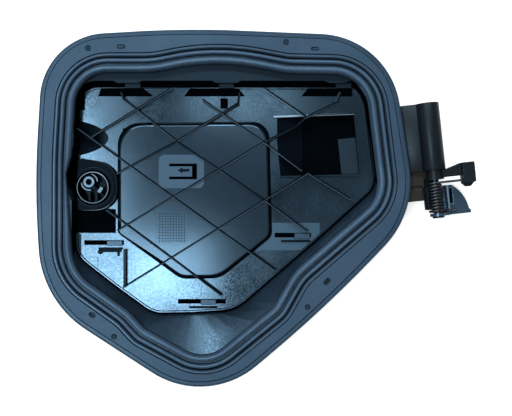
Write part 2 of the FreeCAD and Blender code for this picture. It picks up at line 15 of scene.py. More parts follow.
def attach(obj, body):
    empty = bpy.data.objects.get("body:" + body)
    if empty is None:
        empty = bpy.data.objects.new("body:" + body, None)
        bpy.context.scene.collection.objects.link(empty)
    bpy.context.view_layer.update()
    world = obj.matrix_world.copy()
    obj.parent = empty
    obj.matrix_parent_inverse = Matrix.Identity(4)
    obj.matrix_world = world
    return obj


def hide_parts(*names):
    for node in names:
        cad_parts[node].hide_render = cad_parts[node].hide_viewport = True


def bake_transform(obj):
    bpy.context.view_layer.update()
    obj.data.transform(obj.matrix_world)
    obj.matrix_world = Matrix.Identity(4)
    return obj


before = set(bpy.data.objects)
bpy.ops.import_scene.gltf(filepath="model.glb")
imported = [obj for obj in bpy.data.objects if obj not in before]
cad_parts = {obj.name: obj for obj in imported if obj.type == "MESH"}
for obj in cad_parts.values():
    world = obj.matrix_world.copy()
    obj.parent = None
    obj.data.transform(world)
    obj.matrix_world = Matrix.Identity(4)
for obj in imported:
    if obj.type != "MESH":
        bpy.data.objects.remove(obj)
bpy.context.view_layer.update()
MM = 0.001
scene = bpy.context.scene
print("solids:", ", ".join(sorted(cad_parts)))

# %% [markdown]
# Small helpers
#
# Every piece starts as an edit mesh, which Blender calls a bmesh. One helper turns it into an object at the
# origin, one rounds its outer edges, and one keeps an edge crisp only where two faces meet at a clear angle.
# A Bevel modifier could round edges too, but an operator lets us choose each edge by its height and length.


# %% Helpers for new pieces
def crease_by_angle(bm, degrees=40.0):
    """Smooth all but level faces, and keep an edge sharp where its faces meet at more than this angle."""
    limit = math.radians(degrees)
    nearly_level = 0.9999
    for face in bm.faces:
        face.smooth = abs(face.normal.z) < nearly_level
    for edge in bm.edges:
        edge.smooth = edge.is_manifold and edge.calc_face_angle(0.0) < limit


def outer_edges(bm, shortest, above):
    """Sharp outer edges above a height that are longer than the shortest one given."""
    clear_angle = math.radians(50.0)
    edges = []
    for edge in bm.edges:
        low = min(vert.co.z for vert in edge.verts)
        if edge.is_manifold and edge.is_convex and edge.calc_length() > shortest and low > above:
            if edge.calc_face_angle(0.0) > clear_angle:
                edges.append(edge)
    return edges


def round_edges(bm, edges, radius, segments):
    """Round the given edges."""
    bmesh.ops.bevel(
        bm,
        geom=edges,
        offset=radius,
        offset_type="OFFSET",
        affect="EDGES",
        segments=segments,
        profile=0.5,
        clamp_overlap=False,
        material=-1,
    )


def finish_piece(bm, name, body, slot, *materials):
    """Make an object of a bmesh, and let it ride on a body."""
    mesh = bpy.data.meshes.new(name)
    bm.to_mesh(mesh)
    bm.free()
    piece = bpy.data.objects.new(name, mesh)
    scene.collection.objects.link(piece)
    for material in materials:
        mesh.materials.append(material)
    if body:
        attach(piece, body)
    print(name, "faces", len(mesh.polygons))
    return piece


def mesh_parts(items):
    """Split the result of an operator into its points and its edges."""
    verts = [item for item in items if isinstance(item, bmesh.types.BMVert)]
    edges = [item for item in items if isinstance(item, bmesh.types.BMEdge)]
    return verts, edges


# %% [markdown]
# Grain and tone
#
# Moulded plastic is never one flat colour. The tool that shaped it was etched, so the skin has a fine grain,
# and handling leaves faint cloudy patches. A picture of real plastic could be laid on, but noise has no seams
# and stays sharp close up. Both effects are node groups, so that every finish can use them with its own
# numbers.


# %% Node group for the etched grain
def new_group(name, inputs, outputs):
    """Empty shader node group with its sockets."""
    group = bpy.data.node_groups.new(name, "ShaderNodeTree")
    for label, kind, value in inputs:
        socket = group.interface.new_socket(name=label, in_out="INPUT", socket_type=kind)
        socket.default_value = value
    for label, kind in outputs:
        group.interface.new_socket(name=label, in_out="OUTPUT", socket_type=kind)
    return group, group.nodes.new("NodeGroupInput"), group.nodes.new("NodeGroupOutput")


def etched_grain_group():
    """Fine pits of an etched mould, as a height and as a speckle from 0 to 1."""
    inputs = [("Scale", "NodeSocketFloat", 1200.0)]
    outputs = [("Height", "NodeSocketFloat"), ("Speckle", "NodeSocketFloat")]
    group, given, result = new_group("etched_grain", inputs, outputs)
    place = group.nodes.new("ShaderNodeTexCoord")
    pits = group.nodes.new("ShaderNodeTexNoise")
    pits.inputs["Detail"].default_value = 3.0
    sharpen = group.nodes.new("ShaderNodeMapRange")
    sharpen.inputs["From Min"].default_value = 0.36
    sharpen.inputs["From Max"].default_value = 0.64
    links = group.links
    links.new(place.outputs["Object"], pits.inputs["Vector"])
    links.new(given.outputs["Scale"], pits.inputs["Scale"])
    links.new(pits.outputs["Fac"], result.inputs["Height"])
    links.new(pits.outputs["Fac"], sharpen.inputs["Value"])
    links.new(sharpen.outputs["Result"], result.inputs["Speckle"])
    return group


grain_group = etched_grain_group()
print("made", grain_group.name)


# %% Node group for cloudy tone
def cloudy_tone_group():
    """Two close tones, mixed in large soft clouds with a little fine mottle."""
    inputs = [
        ("Dark", "NodeSocketColor", (0.02, 0.02, 0.02, 1.0)),
        ("Light", "NodeSocketColor", (0.05, 0.05, 0.05, 1.0)),
        ("Scale", "NodeSocketFloat", 30.0),
    ]
    outputs = [("Color", "NodeSocketColor"), ("Cloud", "NodeSocketFloat")]
    group, given, result = new_group("cloudy_tone", inputs, outputs)
    place = group.nodes.new("ShaderNodeTexCoord")
    cloud = group.nodes.new("ShaderNodeTexNoise")
    cloud.inputs["Detail"].default_value = 6.0
    cloud.inputs["Roughness"].default_value = 0.62
    spread = group.nodes.new("ShaderNodeMapRange")
    spread.inputs["From Min"].default_value = 0.3
    spread.inputs["From Max"].default_value = 0.7
    mix = group.nodes.new("ShaderNodeMix")
    mix.data_type = "RGBA"
    links = group.links
    links.new(place.outputs["Object"], cloud.inputs["Vector"])
    links.new(given.outputs["Scale"], cloud.inputs["Scale"])
    links.new(cloud.outputs["Fac"], spread.inputs["Value"])
    links.new(spread.outputs["Result"], mix.inputs[0])
    links.new(given.outputs["Dark"], mix.inputs[6])
    links.new(given.outputs["Light"], mix.inputs[7])
    links.new(mix.outputs[2], result.inputs["Color"])
    links.new(spread.outputs["Result"], result.inputs["Cloud"])
    return group


tone_group = cloudy_tone_group()
print("made", tone_group.name)


# %% Node group for a smooth patch
def smooth_patch_group():
    """Mask of a rounded rectangle in plan, between two heights."""
    inputs = [
        ("Centre", "NodeSocketVector", (0.0, 0.0, 0.0)),
        ("Half", "NodeSocketVector", (0.01, 0.01, 0.0)),
        ("Corner", "NodeSocketFloat", 0.002),
        ("Low", "NodeSocketFloat", 0.0),
        ("High", "NodeSocketFloat", 0.02),
    ]
    group, given, result = new_group("smooth_patch", inputs, [("Mask", "NodeSocketFloat")])
    links = group.links

    def vector_step(operation, first, second):
        node = group.nodes.new("ShaderNodeVectorMath")
        node.operation = operation
        links.new(first, node.inputs[0])
        if isinstance(second, tuple):
            node.inputs[1].default_value = second
        elif second:
            links.new(second, node.inputs[1])
        return node.outputs["Value" if operation == "LENGTH" else "Vector"]

    def number_step(operation, first, second):
        node = group.nodes.new("ShaderNodeMath")
        node.operation = operation
        links.new(first, node.inputs[0])
        links.new(second, node.inputs[1])
        return node.outputs["Value"]

    place = group.nodes.new("ShaderNodeTexCoord").outputs["Object"]
    away = vector_step("SUBTRACT", place, given.outputs["Centre"])
    away = vector_step("ABSOLUTE", away, None)
    away = vector_step("SUBTRACT", away, given.outputs["Half"])
    corner = group.nodes.new("ShaderNodeCombineXYZ")
    links.new(given.outputs["Corner"], corner.inputs["X"])
    links.new(given.outputs["Corner"], corner.inputs["Y"])
    away = vector_step("ADD", away, corner.outputs["Vector"])
    away = vector_step("MAXIMUM", away, (0.0, 0.0, 0.0))
    away = vector_step("MULTIPLY", away, (1.0, 1.0, 0.0))
    inside = number_step("LESS_THAN", vector_step("LENGTH", away, None), given.outputs["Corner"])
    height = group.nodes.new("ShaderNodeSeparateXYZ")
    links.new(place, height.inputs["Vector"])
    above = number_step("GREATER_THAN", height.outputs["Z"], given.outputs["Low"])
    below = number_step("LESS_THAN", height.outputs["Z"], given.outputs["High"])
    level = number_step("MULTIPLY", above, below)
    links.new(number_step("MULTIPLY", inside, level), result.inputs["Mask"])
    return group


patch_group = smooth_patch_group()
print("made", patch_group.name)

# %% [markdown]
# Finishes
#
# All the mouldings are dark. The cool cast of daylight is painted into them, as bluish tones and a blue tint
# of their shine. What tells them apart is gloss: the flange is satin, the seal is a soft matt, the ribbed
# plate is etched and sparkles where a lamp glances off it, and the latch cup is smooth and almost black. Each
# could have its own network of nodes, but one function makes them all from two tones, a range of gloss and a
# grain, so that they are easy to compare.


# %% Moulded finishes
def place_group(material, group, values):
    """Put a node group into a material with its own values."""
    node = material.node_tree.nodes.new("ShaderNodeGroup")
    node.node_tree = group
    for label, value in values.items():
        node.inputs[label].default_value = value
    return node


def moulded_finish(name, dark, light, gloss, grain, tint, shine=0.5, metal=0.0, haze=0.0):
    """Plastic or metal with cloudy tone and etched grain, and a roughness that follows both."""
    cloud_scale = 28.0
    material = bpy.data.materials.new(name)
    material.use_nodes = True
    nodes = material.node_tree.nodes
    links = material.node_tree.links
    shader = nodes["Principled BSDF"]
    shader.inputs["Metallic"].default_value = metal
    shader.inputs["Specular IOR Level"].default_value = shine
    shader.inputs["Specular Tint"].default_value = (*tint, 1.0)
    tones = {"Dark": (*dark, 1.0), "Light": (*light, 1.0), "Scale": cloud_scale}
    tone = place_group(material, tone_group, tones)
    etched = place_group(material, grain_group, {"Scale": grain["scale"]})
    rough = nodes.new("ShaderNodeMapRange")
    rough.inputs["To Min"].default_value = gloss[0]
    rough.inputs["To Max"].default_value = gloss[1]
    bump = nodes.new("ShaderNodeBump")
    bump.inputs["Strength"].default_value = grain["strength"]
    bump.inputs["Distance"].default_value = grain["depth"]
    dull = nodes.new("ShaderNodeMath")
    dull.operation = "MULTIPLY_ADD"
    dull.inputs[1].default_value = haze
    links.new(tone.outputs["Color"], shader.inputs["Base Color"])
    links.new(etched.outputs["Speckle"], rough.inputs["Value"])
    links.new(tone.outputs["Cloud"], dull.inputs[0])
    links.new(rough.outputs["Result"], dull.inputs[2])
    links.new(dull.outputs["Value"], shader.inputs["Roughness"])
    links.new(etched.outputs["Height"], bump.inputs["Height"])
    links.new(bump.outputs["Normal"], shader.inputs["Normal"])
    return material


# %% Grain and light that the finishes share
fine_grain = {"scale": 2400.0, "strength": 0.1, "depth": 0.00005}
coarse_grain = {"scale": 900.0, "strength": 0.16, "depth": 0.00008}
# Blue tint of the shine, a painted reflection of daylight.
sky = (0.38, 0.7, 1.0)
warm_sky = (0.6, 0.84, 1.0)
plain_light = (1.0, 1.0, 1.0)
print("tint of the shine:", sky)

# %% Finishes of the panel, the frame and the seal
panel_finish = moulded_finish(
    "panel_satin", (0.019, 0.035, 0.06), (0.03, 0.053, 0.087), (0.26, 0.38), fine_grain, sky
)
# Painted shade: black for the panel's inside and the frame's steep upper and left walls.
shade_black_finish = moulded_finish(
    "painted_shade_black", (0.0002, 0.0006, 0.0012), (0.0005, 0.0012, 0.0024), (0.5, 0.65), fine_grain, sky, 0.02
)
# Dark finish of the panel's upper hooks. It also paints shade on the arm's root under the plate and round the
# flange lugs, and paints a highlight on the latch cup's upper edges, paler than the cup.
hook_finish = moulded_finish(
    "hook_dark", (0.006, 0.01, 0.015), (0.012, 0.02, 0.03), (0.4, 0.55), fine_grain, sky, 0.3
)
frame_finish = moulded_finish(
    "frame_satin", (0.02, 0.038, 0.066), (0.034, 0.06, 0.098), (0.36, 0.5), fine_grain, sky
)
bowl_finish = moulded_finish(
    "bowl_etched", (0.007, 0.014, 0.023), (0.016, 0.03, 0.05), (0.24, 0.36), coarse_grain, sky, 0.9
)
shelf_finish = moulded_finish(
    "shelf_dark", (0.004, 0.008, 0.013), (0.01, 0.018, 0.028), (0.4, 0.55), fine_grain, sky, 0.2
)
seal_finish = moulded_finish(
    "seal_soft", (0.03, 0.054, 0.088), (0.055, 0.094, 0.148), (0.26, 0.4), fine_grain, sky, 0.6
)
print("finishes so far:", len(bpy.data.materials))

# %% Finishes of the ribbed plate and of bright edges
carrier_tones = ((0.003, 0.006, 0.01), (0.007, 0.013, 0.021))
carrier_finish = moulded_finish(
    "carrier_etched", *carrier_tones, (0.07, 0.13), coarse_grain, sky, 0.8, haze=0.14
)
pad_finish = moulded_finish(
    "pad_satin", (0.006, 0.011, 0.018), (0.011, 0.02, 0.032), (0.13, 0.18), fine_grain, sky, 0.48
)
# Painted shade in black on ribs, walls, the pocket and the bracket's slot. The same black also serves for the
# guide bar and the arrow.
black_and_shade_finish = moulded_finish(
    "black_and_painted_shade", (0.0008, 0.0015, 0.003), (0.002, 0.004, 0.007), (0.3, 0.42), fine_grain, sky, 0.06
)
# Painted pale highlight for rounded edges and level tops that stand in for catching the light.
painted_highlight_finish = moulded_finish(
    "painted_pale_highlight", (0.07, 0.11, 0.15), (0.12, 0.18, 0.24), (0.24, 0.36), fine_grain, sky, 0.6
)
# Painted bright highlight, a glint on a few edges.
painted_glint_finish = moulded_finish(
    "painted_bright_highlight", (0.2, 0.3, 0.37), (0.3, 0.44, 0.54), (0.24, 0.36), fine_grain, sky, 0.8
)
print("finishes so far:", len(bpy.data.materials))

# %% Finishes of the latch and the hinge
latch_finish = moulded_finish(
    "latch_gloss", (0.001, 0.002, 0.004), (0.002, 0.005, 0.008), (0.2, 0.32), fine_grain, sky, 0.02
)
receiver_finish = moulded_finish(
    "receiver_gloss", (0.0005, 0.001, 0.002), (0.002, 0.003, 0.005), (0.16, 0.28), fine_grain, sky, 0.04
)
arm_finish = moulded_finish(
    "arm_satin", (0.004, 0.006, 0.008), (0.008, 0.011, 0.015), (0.3, 0.44), fine_grain, warm_sky, 0.22
)
# Painted warm reflection, brown, on the gusset beside the spring.
warm_reflection_finish = moulded_finish(
    "gusset_painted_warm_reflection", (0.012, 0.011, 0.01), (0.024, 0.021, 0.018), (0.4, 0.55), fine_grain, plain_light, 0.2
)
bracket_finish = moulded_finish(
    "bracket_gloss", (0.015, 0.027, 0.046), (0.03, 0.052, 0.085), (0.18, 0.3), fine_grain, sky, 0.9
)
pin_tones = ((0.02, 0.022, 0.025), (0.04, 0.043, 0.048))
pin_finish = moulded_finish(
    "pin_black_steel", *pin_tones, (0.3, 0.42), fine_grain, plain_light, metal=0.9
)
wire_tones = ((0.03, 0.034, 0.04), (0.06, 0.068, 0.078))
spring_finish = moulded_finish(
    "spring_black_wire", *wire_tones, (0.2, 0.32), fine_grain, plain_light, metal=0.8
)
print("finishes:", len(bpy.data.materials))

# %% [markdown]
# Patches on the ribbed plate
#
# The plate carries a smooth rounded patch round its tongue, a smooth patch at the right and a square of fine
# crossed lines, and beside the latch a black band of painted shade is laid on it. They could be cut into the
# mesh, but they are no thicker than the grain, so they are drawn in the finish. The two smooth patches are
# lighter and duller than the skin round them.

# %% Levels of the ribbed plate, in millimetres
plate_floor = 8.0
pad_top = 11.0
print("the pad stands", pad_top - plate_floor, "mm above the plate's floor")


# %% Draw the patches
def add_patch(material, centre, half, corner, low, high, tone, roughness):
    """Lay a smooth patch over what the finish has so far."""
    nodes = material.node_tree.nodes
    links = material.node_tree.links
    shader = nodes["Principled BSDF"]
    values = {"Centre": Vector(centre) * MM, "Half": Vector(half) * MM}
    values.update({"Corner": corner * MM, "Low": low * MM, "High": high * MM})
    mask = place_group(material, patch_group, values).outputs["Mask"]
    colour = nodes.new("ShaderNodeMix")
    colour.data_type = "RGBA"
    links.new(mask, colour.inputs[0])
    links.new(shader.inputs["Base Color"].links[0].from_socket, colour.inputs[6])
    colour.inputs[7].default_value = (*tone, 1.0)
    links.new(colour.outputs[2], shader.inputs["Base Color"])
    gloss = nodes.new("ShaderNodeMix")
    links.new(mask, gloss.inputs["Factor"])
    links.new(shader.inputs["Roughness"].links[0].from_socket, gloss.inputs["A"])
    gloss.inputs["B"].default_value = roughness
    links.new(gloss.outputs["Result"], shader.inputs["Roughness"])


pad_level = (pad_top - 0.3, pad_top + 0.3)
floor_level = (plate_floor - 0.5, plate_floor + 0.3)
shade_band_level = (plate_floor - 0.5, plate_floor + 1.4)
tongue_tone = (0.03, 0.055, 0.088)
right_tone = (0.02, 0.04, 0.062)
painted_shade_tone = (0.0, 0.0, 0.001)
add_patch(pad_finish, (-38.0, 18.6, 0.0), (11.5, 8.5, 0.0), 3.0, *pad_level, tongue_tone, 0.42)
add_patch(carrier_finish, (15.0, -14.6, 0.0), (17.6, 7.0, 0.0), 0.3, *floor_level, right_tone, 0.4)
# Painted shade: a black band along the plate's left edge beside the latch.
add_patch(carrier_finish, (-91.6, -20.0, 0.0), (2.1, 7.0, 0.0), 1.0, *shade_band_level, painted_shade_tone, 0.6)
print("patches on", pad_finish.name, "and", carrier_finish.name)

# %% Square of crossed lines
cell_tone = (0.03, 0.055, 0.085)
line_tone = (0.0, 0.0, 0.0)
line_share = 0.11
line_roughness = 0.75


def crossed_lines(material, centre, half, pitch):
    """Fine square grid of dull black lines between slightly paler cells."""
    nodes = material.node_tree.nodes
    links = material.node_tree.links
    shader = nodes["Principled BSDF"]
    values = {"Centre": Vector(centre) * MM, "Half": Vector(half) * MM, "Corner": 0.2 * MM}
    values.update({"Low": pad_level[0] * MM, "High": pad_level[1] * MM})
    mask = place_group(material, patch_group, values).outputs["Mask"]
    place = nodes.new("ShaderNodeTexCoord")
    axes = nodes.new("ShaderNodeSeparateXYZ")
    links.new(place.outputs["Object"], axes.inputs["Vector"])
    lines = []
    for axis in ("X", "Y"):
        wave = nodes.new("ShaderNodeMath")
        wave.operation = "PINGPONG"
        wave.inputs[1].default_value = pitch * MM / 2
        links.new(axes.outputs[axis], wave.inputs[0])
        line = nodes.new("ShaderNodeMath")
        line.operation = "LESS_THAN"
        line.inputs[1].default_value = pitch * MM * line_share
        links.new(wave.outputs["Value"], line.inputs[0])
        lines.append(line.outputs["Value"])
    either = nodes.new("ShaderNodeMath")
    either.operation = "MAXIMUM"
    links.new(lines[0], either.inputs[0])
    links.new(lines[1], either.inputs[1])
    drawn = nodes.new("ShaderNodeMath")
    drawn.operation = "MULTIPLY"
    links.new(either.outputs["Value"], drawn.inputs[0])
    links.new(mask, drawn.inputs[1])
    for factor, tone in ((mask, cell_tone), (drawn.outputs["Value"], line_tone)):
        colour = nodes.new("ShaderNodeMix")
        colour.data_type = "RGBA"
        links.new(factor, colour.inputs[0])
        links.new(shader.inputs["Base Color"].links[0].from_socket, colour.inputs[6])
        colour.inputs[7].default_value = (*tone, 1.0)
        links.new(colour.outputs[2], shader.inputs["Base Color"])
    gloss = nodes.new("ShaderNodeMix")
    links.new(drawn.outputs["Value"], gloss.inputs["Factor"])
    links.new(shader.inputs["Roughness"].links[0].from_socket, gloss.inputs["A"])
    gloss.inputs["B"].default_value = line_roughness
    links.new(gloss.outputs["Result"], shader.inputs["Roughness"])


crossed_lines(pad_finish, (-42.7, -9.9, 0.0), (7.6, 7.9, 0.0), 1.4)
print("crossed lines on", pad_finish.name)

# %% [markdown]
# Valleys of the seal
#
# Little light falls between the beads of the seal. Smaller lamps could deepen that shade, but they would
# harden every other shadow too, so the finish itself fades to black toward the bottom of the valleys.


# %% Darken the valleys of the seal
def dark_below(material, low, high):
    """Fade the finish to black between two heights, from the upper one down."""
    nodes = material.node_tree.nodes
    links = material.node_tree.links
    shader = nodes["Principled BSDF"]
    place = nodes.new("ShaderNodeTexCoord")
    axes = nodes.new("ShaderNodeSeparateXYZ")
    rise = nodes.new("ShaderNodeMapRange")
    rise.inputs["From Min"].default_value = low * MM
    rise.inputs["From Max"].default_value = high * MM
    colour = nodes.new("ShaderNodeMix")
    colour.data_type = "RGBA"
    colour.inputs[6].default_value = (0.0, 0.0, 0.0, 1.0)
    links.new(place.outputs["Object"], axes.inputs["Vector"])
    links.new(axes.outputs["Z"], rise.inputs["Value"])
    links.new(rise.outputs["Result"], colour.inputs[0])
    links.new(shader.inputs["Base Color"].links[0].from_socket, colour.inputs[7])
    links.new(colour.outputs[2], shader.inputs["Base Color"])


valley_black = 17.4
valley_end = 19.4
dark_below(seal_finish, valley_black, valley_end)
print("dark valleys on", seal_finish.name)

# %% [markdown]
# Dress the solids
#
# A solid from the measured model is a soup of loose triangles. A copy is merged, its flat faces are joined
# again, and its outer edges are rounded a little, because a moulded edge always has a small radius that
# catches the light as a thin line. A new model of each solid could look the same, but a copy keeps the
# measured shape. Where one moulding shows several skins, its faces are sorted by where they are and which way
# they look.

# %% Softened copies of the solids
shortest_edge = 0.6 * MM
level_tilt = 0.97
rounded_tilt = 0.2


def merged_copy(node):
    """Closed copy of a solid, with its flat faces whole again."""
    merge_distance = 0.002 * MM
    flat_angle = math.radians(0.5)
    bm = bmesh.new()
    bm.from_mesh(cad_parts[node].data)
    bmesh.ops.remove_doubles(bm, verts=bm.verts, dist=merge_distance)
    bmesh.ops.dissolve_limit(bm, angle_limit=flat_angle, verts=bm.verts, edges=bm.edges)
    return bm


def softened(bm, node, body, slot, finishes, skin_of=None, *, radius, above):
    """Round a copy's edges above a height, sort its faces by skin and let it stand for the solid."""
    round_edges(bm, outer_edges(bm, shortest_edge, above * MM), radius * MM, 2)
    bm.normal_update()
    for face in bm.faces:
        skin = skin_of(face.normal, face.calc_center_median() / MM) if skin_of else finishes[0]
        face.material_index = finishes.index(skin)
    crease_by_angle(bm)
    piece = finish_piece(bm, node + "_moulded", body, slot, *finishes)
    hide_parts(node)


def is_level(normal):
    """Does a face look straight up?"""
    return normal.z > level_tilt


def is_rounded(normal):
    """Is a face part of a rounded upper edge?"""
    return rounded_tilt < normal.z < level_tilt


print("edges shorter than", shortest_edge, "m stay sharp")

# %% [markdown]
# The panel and the frame
#
# The panel is the outer skin, and its inside is seen only through the windows of the plate, so it is painted
# black as shade. The frame is one moulding with a satin flange, an etched bowl and a dark shelf at its upper
# side, and its steep upper and left walls are painted black as shade. A painted mask could part these skins,
# but the height and tilt of each face already tell them apart.

# %% Dress the panel and the frame
upper_side = 55.0
channel_floor = 16.5


def panel_skin(normal, middle):
    """The panel's inside is painted black as shade, and its upper snap hooks are dark."""
    hook_low = 8.4
    hook_high = 12.0
    inside_high = 8.2
    looks_up = 0.3
    if hook_low < middle.z < hook_high and abs(normal.z) > looks_up and middle.y > upper_side:
        return hook_finish
    return shade_black_finish if normal.z > looks_up and middle.z < inside_high else panel_finish


def frame_skin(normal, middle):
    """The bowl is etched, its steep upper and left walls are painted black as shade, and the shelf is dark.
    """
    if middle.z > channel_floor - 0.05:
        return frame_finish
    if middle.y > upper_side and normal.z > 0.5:
        return shelf_finish
    lower_wall = normal.y > 0.15
    bottom = normal.z > 0.9
    return bowl_finish if lower_wall or bottom else shade_black_finish


panel_skins = (panel_finish, shade_black_finish, hook_finish)
frame_skins = (frame_finish, bowl_finish, shelf_finish, shade_black_finish)
panel = merged_copy("outer_panel")
softened(
    panel, "outer_panel", "flap", "panel_plastic", panel_skins, panel_skin, radius=0.2, above=9.0
)
seal_frame = merged_copy("seal_frame")
softened(
    seal_frame, "seal_frame", "flap", "frame_plastic", frame_skins, frame_skin, radius=0.25, above=13.0
)

# %% [markdown]
# The ribbed plate
#
# The plate stiffens the flap with crossed ribs over a raised pad. One bevel could round all its edges, but
# the pad's upper edge has a larger radius than the ribs, so it is rounded first. Ribs, walls and the pocket
# are painted almost black as shade, and the edges that face the lower side of the picture and the pocket's
# lip carry painted highlights.


# %% Dress the ribbed plate
def pad_rim(bm):
    """Edges between the pad's top and its sloped wall."""
    edges = []
    for edge in outer_edges(bm, shortest_edge, (pad_top - 0.1) * MM):
        low_tilt = min(face.normal.z for face in edge.link_faces)
        if max(vert.co.z for vert in edge.verts) < (pad_top + 0.1) * MM and low_tilt > 0.2:
            edges.append(edge)
    return edges


def plate_skin(normal, middle):
    """The pad is satin, ribs, walls and pocket are painted black as shade, and lower edges and the pocket's
    lip carry painted highlights.
    """
    lip_left = 7.0
    lip_low = 45.5
    pocket_left = 5.0
    pocket_low = 15.0
    pocket_high = 47.0
    bar_top = plate_floor + 1.4
    if is_level(normal) and abs(middle.z - pad_top) < 0.2:
        return pad_finish
    if middle.z > pad_top + 0.2:
        return painted_highlight_finish if is_rounded(normal) and normal.y < 0.0 else black_and_shade_finish
    if middle.z > plate_floor + 1.0 and middle.x > lip_left and middle.y > lip_low:
        return painted_glint_finish
    if is_level(normal) and abs(middle.z - bar_top) < 0.2 and middle.y < 0.0:
        return black_and_shade_finish
    in_pocket = middle.x > pocket_left and pocket_low < middle.y < pocket_high
    if in_pocket and middle.z < plate_floor - 0.1 and normal.z > 0.2:
        return black_and_shade_finish
    wall = abs(normal.z) < 0.3 and middle.z > bar_top + 0.2
    slope = 0.3 <= normal.z <= level_tilt and middle.z > plate_floor + 0.2
    return black_and_shade_finish if wall or slope else carrier_finish


plate_skins = (carrier_finish, black_and_shade_finish, pad_finish, painted_highlight_finish, painted_glint_finish)
plate = merged_copy("carrier_plate")
print("edges round the pad:", len(pad_rim(plate)))
pad_radius = 1.1 * MM
round_edges(plate, pad_rim(plate), pad_radius, 3)
softened(
    plate, "carrier_plate", "flap", "carrier_plastic", plate_skins, plate_skin, radius=0.25, above=8.6
)

# %% [markdown]
# The latch
#
# A black cup takes the push latch of the car. Inside it stands a receiver, a ring with a boss. Only the
# ring's outer edge, the boss and the cup's lower edge are bright. A lamp over the cup could light them, but
# it would light the black walls too, so these faces carry painted highlights in a paler finish.

# %% Dress the latch
ring_centre = (-83.7, 11.7)
ring_edge = 14.8


def latch_skin(normal, middle):
    """The cup is black, and its rounded upper edges carry painted highlights, brightest at its lower side."""
    rim_low = 10.0
    lower_rim_high = 13.0
    if is_rounded(normal) and middle.z > rim_low:
        return painted_glint_finish if normal.y < -0.3 and middle.z < lower_rim_high else hook_finish
    return latch_finish


def receiver_skin(normal, middle):
    """The outer rounded edge of the receiver's ring has a painted bright highlight, and the top of its boss a
    painted pale highlight.
    """
    boss_low = 13.0
    boss_high = 14.0
    away = Vector((middle.x - ring_centre[0], middle.y - ring_centre[1], 0.0))
    if is_rounded(normal) and middle.z > ring_edge and normal.dot(away) > 0.0:
        return painted_glint_finish
    return painted_highlight_finish if is_level(normal) and boss_low < middle.z < boss_high else receiver_finish


latch_skins = (latch_finish, hook_finish, painted_glint_finish)
receiver_skins = (receiver_finish, painted_glint_finish, painted_highlight_finish)
housing = merged_copy("latch_housing")
softened(
    housing, "latch_housing", "flap", "latch_plastic", latch_skins, latch_skin, radius=0.25, above=8.0
)
receiver = merged_copy("latch_receiver")
ring_radius = 0.3 * MM
ring_shortest = 0.1 * MM
round_edges(receiver, outer_edges(receiver, ring_shortest, ring_edge * MM), ring_radius, 2)
softened(
    receiver,
    "latch_receiver",
    "flap",
    "receiver_plastic",
    receiver_skins,
    receiver_skin,
    radius=0.25,
    above=8.0,
)

# %% [markdown]
# The hinge
#
# The arm is one moulding that goes under the plate and ends in the barrel. The pin is pressed into the
# barrel and turns in the eye of the bracket, which stays on the car, so the bracket rides on the fixed body.
# All three could be new meshes, but copies of the solids keep the fit that lets the hinge swing.


# %% Dress the hinge
def arm_skin(normal, middle):
    """The root of the arm is painted dark as shade under the plate, and the gusset beside the spring has a
    painted warm brown reflection.
    """
    plate_edge = 60.0
    gusset_right = 84.5
    gusset_high = 22.0
    if middle.x < plate_edge:
        return hook_finish
    in_gusset = middle.y < gusset_high and middle.x < gusset_right
    return warm_reflection_finish if in_gusset and normal.z > 0.3 else arm_finish


def bracket_skin(normal, middle):
    """The slot in the bracket's wing is painted black as shade, and the wing's rounded edges and upright
    flange have painted pale highlights.
    """
    eye_high = 1.0
    flange_low = 14.0
    slot_low = 6.0
    slot_high = 7.0
    if middle.y > eye_high and (is_rounded(normal) or middle.z > flange_low):
        return painted_highlight_finish
    return black_and_shade_finish if normal.z > 0.9 and slot_low < middle.z < slot_high else bracket_finish


arm_skins = (arm_finish, hook_finish, warm_reflection_finish)
bracket_skins = (bracket_finish, black_and_shade_finish, painted_highlight_finish)
arm = merged_copy("hinge_arm")
softened(arm, "hinge_arm", "flap", "arm_plastic", arm_skins, arm_skin, radius=0.3, above=6.0)
pin = merged_copy("hinge_pin")
softened(pin, "hinge_pin", "flap", "pin_steel", (pin_finish,), radius=0.2, above=0.0)
bracket = merged_copy("hinge_bracket")
softened(
    bracket,
    "hinge_bracket",
    "hinge_base",
    "bracket_plastic",
    bracket_skins,
    bracket_skin,
    radius=0.25,
    above=0.0,
)

# %% [markdown]
# The seal
#
# The seal is a soft extrusion with a low lip and two round beads. A curve could carry its section, but a spin
# keeps every corner a true arc. So the section is drawn once, then extruded along each straight side and spun
# round each corner, as the strip itself is laid in its channel. Beside the latch the strip swells outward
# round the cup, and its points there are pushed onto an arc.

# %% Outline of the seal
seal_corners = [
    (-99.05, 77.8, 26.5),
    (-51.5, 77.8, 50.0),
    (-21.5, 84.55, 119.0),
    (16.35, 77.35, 25.0),
    (63.3, 76.45, 28.5),
    (72.55, 1.2, 29.0),
    (26.4, -38.55, 20.0),
    (16.65, -55.95, 20.0),
    (-24.0, -88.7, 27.5),
    (-61.85, -68.25, 17.5),
    (-70.2, -59.1, 17.5),
    (-102.2, -36.4, 33.0),
    (-102.1, 25.5, 300.0),
]


def corner_turns(corners):
    """For each rounded corner: where its arc starts and ends, its centre and its turn."""
    turns = []
    for i, (x, y, radius) in enumerate(corners):
        here = Vector((x, y, 0.0)) * MM
        before = Vector(corners[i - 1][:2] + (0.0,)) * MM
        after = Vector(corners[(i + 1) % len(corners)][:2] + (0.0,)) * MM
        into = (here - before).normalized()
        out = (after - here).normalized()
        turn = math.atan2(into.x * out.y - into.y * out.x, into.dot(out))
        reach = radius * MM * math.tan(abs(turn) / 2)
        start = here - into * reach
        spoke = Vector((into.y, -into.x, 0.0)) * math.copysign(radius * MM, turn)
        corner = {"start": start, "end": here + out * reach, "centre": start - spoke}
        turns.append(corner | {"turn": turn, "into": into})
    return turns


